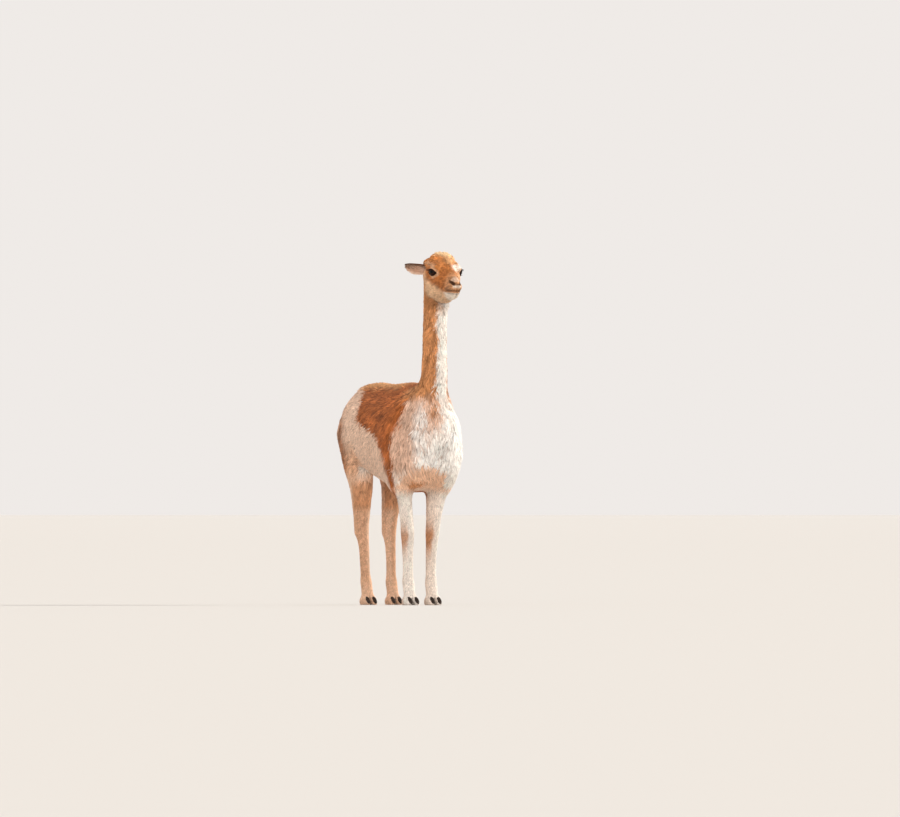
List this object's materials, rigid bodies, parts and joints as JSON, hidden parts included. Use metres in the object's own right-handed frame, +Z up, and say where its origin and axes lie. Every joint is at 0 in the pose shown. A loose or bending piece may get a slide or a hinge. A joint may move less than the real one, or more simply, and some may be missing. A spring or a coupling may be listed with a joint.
{
  "type": "vicuna",
  "caption": "Life-size still model of a standing vicuna with its neck up, one ear held out, and its short fleece as part of the form.",
  "frame": {"origin": "on the floor, under the middle of the box round the whole animal", "axes": "+Z up, the nose towards -Y, the animal's left side towards +X"},
  "size_m": [0.3126, 1.0116, 1.3259],
  "materials": {
    "coat": "short dense wool, cinnamon above and cream below",
    "eye": "wet and dark",
    "nail": "dark horn"
  },
  "bodies": {
    "root": {"torso": "coat", "neck": "coat", "head": "coat", "tail": "coat", "ear_left": "coat", "ear_right": "coat", "foreleg_left": "coat", "foreleg_right": "coat", "hindleg_left": "coat", "hindleg_right": "coat", "eye_left": "eye", "eye_right": "eye", "toenail_fore_inner_left": "nail", "toenail_fore_outer_left": "nail", "toenail_fore_inner_right": "nail", "toenail_fore_outer_right": "nail", "toenail_hind_inner_left": "nail", "toenail_hind_outer_left": "nail", "toenail_hind_inner_right": "nail", "toenail_hind_outer_right": "nail"}
  },
  "joints": []
}
